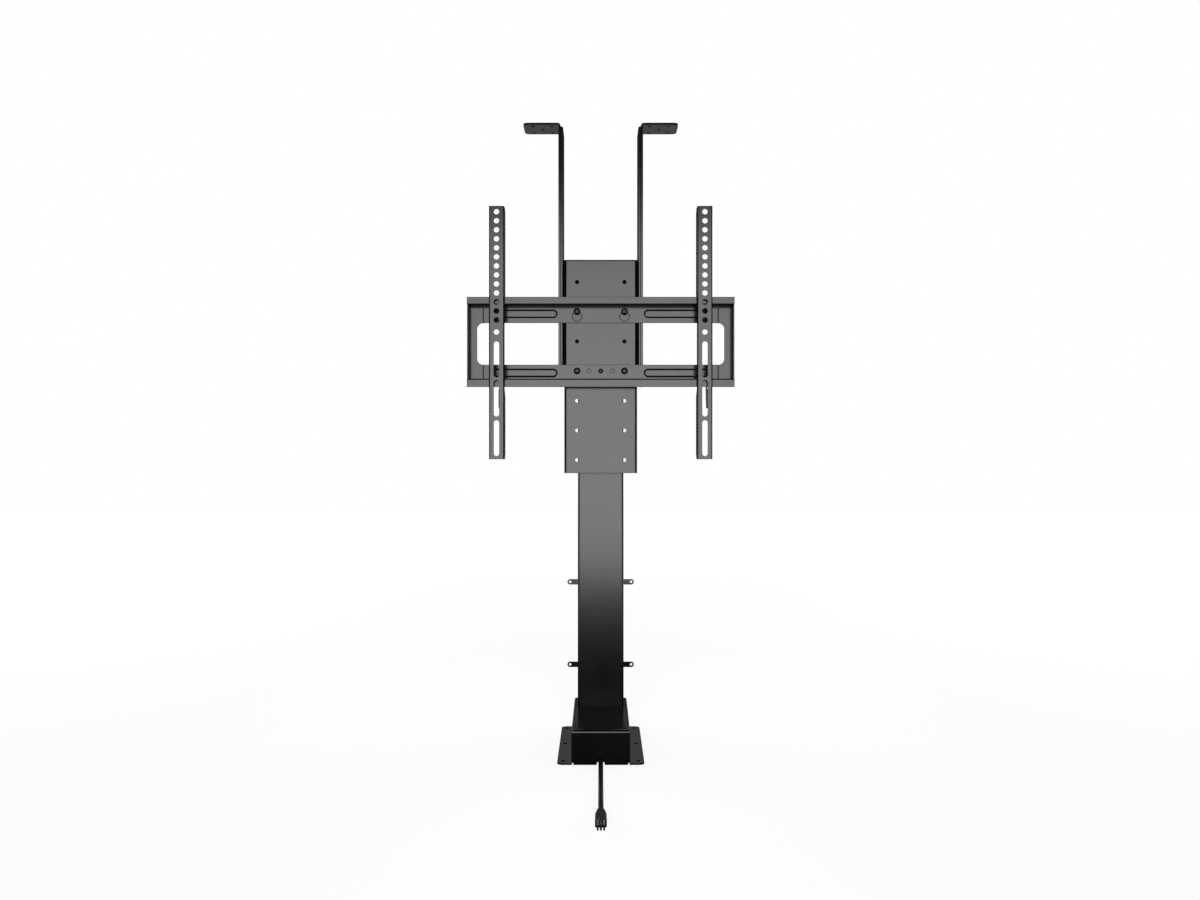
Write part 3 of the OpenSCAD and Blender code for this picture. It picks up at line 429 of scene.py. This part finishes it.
# matt cable sheath, with the faint ripple of the cores inside
sheathSpec = {
    "fixed": {"Metallic": 0.0, "Specular IOR Level": 0.15},
    "shade": 0.003, "paler": 0.005, "roughness": 0.34,
    "ripple": (9, 1), "rippleRange": (0.3, 0.7),
    "pull": (0.5, 2, (1, 30, 1)), "pullRough": 0.22, "relief": (0.2, 0.08),
}


def cableSkin(spec):
    finish = Finish("cable_skin", spec["fixed"])
    pull = finish.grain(*spec["pull"])
    ripple = finish.grain(*spec["ripple"])
    finish.vary(
        Base_Color=ripple.between(*spec["rippleRange"]).tint(spec["shade"], spec["paler"]),
        Roughness=spec["roughness"] + pull.swing(spec["pullRough"]),
    )
    finish.relief(pull.average(ripple), *spec["relief"])
    return finish.material


finishes = {
    "black_paint": powderCoat(powderSpec),
    "dark_tube": tubeEnamel(enamelSpec),
    "black_fastener": blackOxide(oxideSpec),
    "zinc_plate": zincPlate(zincSpec),
    "steel": turnedSteel(steelSpec),
    "motor_case": castAlloy(castSpec),
    "bronze": machinedBronze(bronzeSpec),
    "nut_plastic": naturalPlastic(nutSpec),
    "black_plastic": blackMoulding(mouldSpec),
    "cable_jacket": cableSkin(sheathSpec),
}
print("finishes mixed,", len(finishes))


# pieces that keep the CAD shape, with their sharp edges broken
edgeSpec = {
    "sharp": math.radians(30), "smooth": math.radians(33),
    "flat": math.radians(0.4), "merge": 0.002 * mm, "segments": 3,
    "width": {  # mm, by finish
        "black_paint": 0.4, "dark_tube": 0.35, "black_plastic": 0.3,
        "black_fastener": 0.2, "zinc_plate": 0.2,
    },
    "own": {  # mm, pieces with rounder or finer edges than the rest of their finish
        "rail_upper_channel": 0.6, "rail_lower_channel": 0.6,
        "rail_end_left": 0.3, "rail_end_right": 0.3,
        "mount_plate": 0.6, "cable_gland": 0.12,
    },
    "noses": {"lid_upright_left": 1.8, "lid_upright_right": 1.8},  # mm, front edge, inner side
    "rims": {  # mm, width of a rounder front rim, and the x, z and radius of its holes
        "rail_upper_channel": (1.35, [(-40, 728, 7.7), (40, 728, 7.7)]),
        "rail_lower_channel": (0.8, [(-20, 636, 3.45), (20, 636, 3.45)]),
    },
    "rimReach": 0.2,  # mm, how near an edge lies to a hole's circle
    "frontFacing": -0.9, "inwardFacing": -0.1,  # normals of the faces beside a rim or nose
    "unbroken": ["cable_plug"],
    "enclosed": [
        "foot_plate", "motor_can", "motor_flange", "gearbox_case", "gearbox_lid", "gearbox_screws",
        "screw_bearing", "worm_bushes", "inner_lead", "worm_shaft", "worm_wheel", "drive_screw",
        "middle_foot_glide", "middle_nut", "upper_screw_retainer", "upper_screw",
        "inner_foot_glide", "inner_nut",
    ],
    "remade": ["motor_cable"],
}


def onFront(edge, spec):
    return min(face.normal.y for face in edge.link_faces) < spec["frontFacing"]


def onRim(edge, holes, spec):
    middle = (edge.verts[0].co + edge.verts[1].co) / 2
    gaps = [
        math.hypot(middle.x - x * mm, middle.z - z * mm) - radius * mm for x, z, radius in holes
    ]
    return onFront(edge, spec) and any(abs(gap) < spec["rimReach"] * mm for gap in gaps)


def onNose(edge, spec):
    side = math.copysign(1, edge.verts[0].co.x)
    inward = min(side * face.normal.x for face in edge.link_faces)
    return onFront(edge, spec) and inward < spec["inwardFacing"]


def brokenEdges(node, width, spec):
    shape = bmesh.new()
    shape.from_mesh(frame["nodes"][node].data)
    bevel_faces = shape.loops.layers.float.new("bevel_faces")
    bmesh.ops.remove_doubles(shape, verts=shape.verts, dist=spec["merge"])
    bmesh.ops.dissolve_limit(
        shape, angle_limit=spec["flat"], use_dissolve_boundaries=False,
        verts=shape.verts, edges=shape.edges, delimit=set(),
    )
    if node in spec["unbroken"]:
        return shape
    sharp = [e for e in shape.edges if e.is_manifold and e.calc_face_angle(0) > spec["sharp"]]
    wideWidth, holes = spec["rims"].get(node, (width, []))
    wide = [e for e in sharp if onRim(e, holes, spec)]
    if node in spec["noses"]:
        wideWidth = spec["noses"][node]
        wide = [e for e in sharp if onNose(e, spec)]
    for edges, across in ((wide, wideWidth), (sharp, width)):  # the wide ones first
        result = bmesh.ops.bevel(
            shape, geom=[e for e in edges if e.is_valid],
            offset=across * mm, offset_type="OFFSET", affect="EDGES",
            segments=spec["segments"], profile=0.5, material=-1,
            clamp_overlap=False, loop_slide=False,
        )
        # mark the bevel faces, which the finishes use for edge wear and for painted edge highlights
        for face in result["faces"]:
            for corner in face.loops:
                corner[bevel_faces] = 1
    return shape


def keepShape(shape, name, smooth):
    mesh = bpy.data.meshes.new(name)
    shape.to_mesh(mesh)
    shape.free()
    mesh.shade_smooth()
    mesh.set_sharp_from_angle(angle=smooth)
    piece = newObject(name, mesh)
    soft = piece.modifiers.new("flat_faces", "WEIGHTED_NORMAL")
    soft.keep_sharp = True
    return piece


def paintWith(piece, slotName):
    piece.data.materials.clear()
    piece.data.materials.append(finishes[slotName])


for body, nodes in bodyNodes.items():
    for node in nodes:
        slotName = slotOf[node]
        if node in edgeSpec["remade"]:
            continue
        if node in edgeSpec["enclosed"]:
            paintWith(frame["nodes"][node], slotName)
            continue
        width = edgeSpec["own"].get(node) or edgeSpec["width"][slotName]
        shape = brokenEdges(node, width, edgeSpec)
        piece = keepShape(shape, node + "_dressed", edgeSpec["smooth"])
        paintWith(piece, slotName)
        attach(piece, body)
        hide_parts(node)
    print("dressed", body)


# cable on its gland, with the plug at the far end
paintWith(cableSheath, "cable_jacket")
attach(cableSheath, "base")
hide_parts("motor_cable")
print("cable dressed")


# white floor and room, softboxes in front, beside and behind
studioSpec = {
    "floor": {  # metres; from none to full in each pair
        "size": 6, "drop": 0.2 * mm, "shade": 0.2, "echo": 0.3, "glow": 0.89, "fade": (0.8, 2.6),
        "lane": 0.25, "laneEdge": (0.1, 0.5),  # slope and edge of the dimmer lane to the viewer
        "behindFrom": (0.5, 1.0), "behindTo": (1.7, 2.4), "ring": (0.6, 1.4),
    },
    "room": {  # heights and depths of the direction in which a mirror looks
        "fill": 0.15, "behind": (-0.1, 0.5), "skyline": (0.22, 0.3), "overhead": (0.45, 0.7),
    },
    "mirrored": 0.31,  # white in mirrors, where it is dimmed
    "softboxes": {  # centre, width, height, watts
        "front": ((0, -1.78, 0.66), 1.5, 1.5, 10),
        "left": ((-2.2, 0.9, 0.9), 1.0, 1.5, 5),
        "right": ((2.2, 0.9, 0.9), 1.0, 1.5, 5),
        "rearLeft": ((-1.7, 2.0, 0.9), 1.1, 1.5, 8),
        "rearRight": ((1.7, 2.0, 0.9), 1.1, 1.5, 8),
    },
    "cloth": {"spread": math.radians(90), "edge": 0.12, "echo": 0.1, "echoDepth": (2, 3)},
    "flag": {
        "place": (0, 0.6, 1.25), "width": 0.2, "height": 0.6, "weave": 400.0, "shade": 0.002,
    },
}


# rays that mirror or pass through the object see the white too
def mirrorRays(rays):
    return rays.other("Is Glossy Ray") + rays.other("Is Transmission Ray")


def gridMesh(name, size, matrix):
    sheet = bmesh.new()
    bmesh.ops.create_grid(sheet, x_segments=1, y_segments=1, size=size, matrix=matrix)
    mesh = bpy.data.meshes.new(name)
    sheet.to_mesh(mesh)
    sheet.free()
    return mesh


# white to the camera; mirrored white at the sides and close behind, dimmer in line with the viewer
def floorFinish(spec, mirrored):
    material = bpy.data.materials.new("studio_floor")
    material.use_nodes = True
    tree = material.node_tree
    tree.nodes.remove(tree.nodes["Principled BSDF"])
    wire = Wire(tree)
    place = wire.node("ShaderNodeTexCoord", out="Object")
    away = wire.node("ShaderNodeVectorMath", {"operation": "LENGTH"}, {0: place}, out="Value")
    far = away.between(*spec["fade"])
    across = wire.node("ShaderNodeSeparateXYZ", {}, {0: place})
    depth = across.other("Y")
    sides = (abs(across) - abs(depth) * spec["lane"]).between(*spec["laneEdge"])
    behind = depth.between(*spec["behindFrom"]) * (1 - depth.between(*spec["behindTo"]))
    clear = sides.maths("MAXIMUM", sides, behind) * away.between(*spec["ring"])
    rays = wire.node("ShaderNodeLightPath", out="Is Camera Ray")
    shade = rays.other("Is Glossy Ray").tint(spec["shade"], spec["shade"] * spec["echo"])
    matt = wire.node("ShaderNodeBsdfDiffuse", {}, {"Color": shade})
    white = rays * (spec["glow"] + far * (1 - spec["glow"]))
    mirror = mirrorRays(rays) * (clear + (1 - clear) * far * mirrored)
    glow = wire.node("ShaderNodeEmission", {}, {"Color": rgba(1), "Strength": white + mirror})
    both = wire.node("ShaderNodeAddShader", {}, {0: matt, 1: glow})
    tree.links.new(both.socket, tree.nodes["Material Output"].inputs["Surface"])
    return material


# white to the camera; mirrored behind the object from the skyline up, and dark on the viewer's side
def roomLight(spec, mirrored):
    room = bpy.data.worlds.new("studio_room")
    room.use_nodes = True
    wire = Wire(room.node_tree)
    rays = wire.node("ShaderNodeLightPath", out="Is Camera Ray")
    way = wire.node("ShaderNodeSeparateXYZ", {}, {
        0: wire.node("ShaderNodeTexCoord", out="Generated"),
    })
    height = way.other("Z")
    back = way.other("Y").between(*spec["behind"]) * height.between(*spec["skyline"])
    sky = mirrored + height.between(*spec["overhead"]) * (1 - mirrored)
    seen = rays + mirrorRays(rays) * back * sky
    strength = seen + rays.other("Is Diffuse Ray") * spec["fill"]
    backdrop = room.node_tree.nodes["Background"]
    backdrop.inputs["Color"].default_value = rgba(1)
    room.node_tree.links.new(strength.socket, backdrop.inputs["Strength"])
    return room


# lamp behind a cloth that fades to its edges, faint in the reflection of a reflection
def softbox(name, centre, width, height, watts, spec):
    lamp = bpy.data.lights.new("softbox_" + name, "AREA")
    lamp.shape = "RECTANGLE"
    lamp.size = width
    lamp.size_y = height
    lamp.energy = watts
    lamp.spread = spec["spread"]
    lamp.use_nodes = True
    wire = Wire(lamp.node_tree)
    across = wire.node("ShaderNodeSeparateXYZ", {}, {
        0: wire.node("ShaderNodeNewGeometry", out="Parametric"),
    })
    cloth = 1
    for way in (across, across.other("Y")):
        cloth = way.between(0, spec["edge"]) * (1 - way).between(0, spec["edge"]) * cloth
    again = wire.node("ShaderNodeLightPath", out="Ray Depth").between(*spec["echoDepth"])
    cloth = cloth * (1 - again * (1 - spec["echo"]))
    emission = lamp.node_tree.nodes["Emission"]
    lamp.node_tree.links.new(cloth.socket, emission.inputs["Strength"])
    box = newObject("softbox_" + name, lamp)
    box.location = centre
    inwards = Vector((-centre[0], -centre[1], 0))
    box.rotation_euler = inwards.to_track_quat("-Z", "Y").to_euler()
    box.visible_camera = False


# black cloth behind the lid supports, which only mirrors see
def blackFlag(spec):
    size = Matrix.Diagonal((spec["width"], spec["height"], 1, 1))
    upright = Matrix.Translation(spec["place"]) @ Matrix.Rotation(math.pi / 2, 4, "X") @ size
    flag = newObject("black_flag", gridMesh("black_flag", 0.5, upright))
    material = bpy.data.materials.new("black_cloth")
    material.use_nodes = True
    surface = material.node_tree.nodes["Principled BSDF"]
    surface.inputs["Roughness"].default_value = 1
    surface.inputs["Specular IOR Level"].default_value = 0
    wire = Wire(material.node_tree)
    weave = wire.node("ShaderNodeTexNoise", {}, {
        "Vector": wire.node("ShaderNodeTexCoord", out="Object"), "Scale": spec["weave"],
    })
    wire.tree.links.new(weave.tint(0.0, spec["shade"]).socket, surface.inputs["Base Color"])
    flag.data.materials.append(material)
    for rays in ("camera", "diffuse", "transmission", "shadow"):
        setattr(flag, "visible_" + rays, False)


def studio(spec):
    below = Matrix.Translation((0, 0, -spec["floor"]["drop"]))
    floor = newObject("studio_floor", gridMesh("studio_floor", spec["floor"]["size"], below))
    floor.data.materials.append(floorFinish(spec["floor"], spec["mirrored"]))
    scene.world = roomLight(spec["room"], spec["mirrored"])
    blackFlag(spec["flag"])
    for name, (centre, width, height, watts) in spec["softboxes"].items():
        softbox(name, centre, width, height, watts, spec["cloth"])


studio(studioSpec)
print("studio lit")
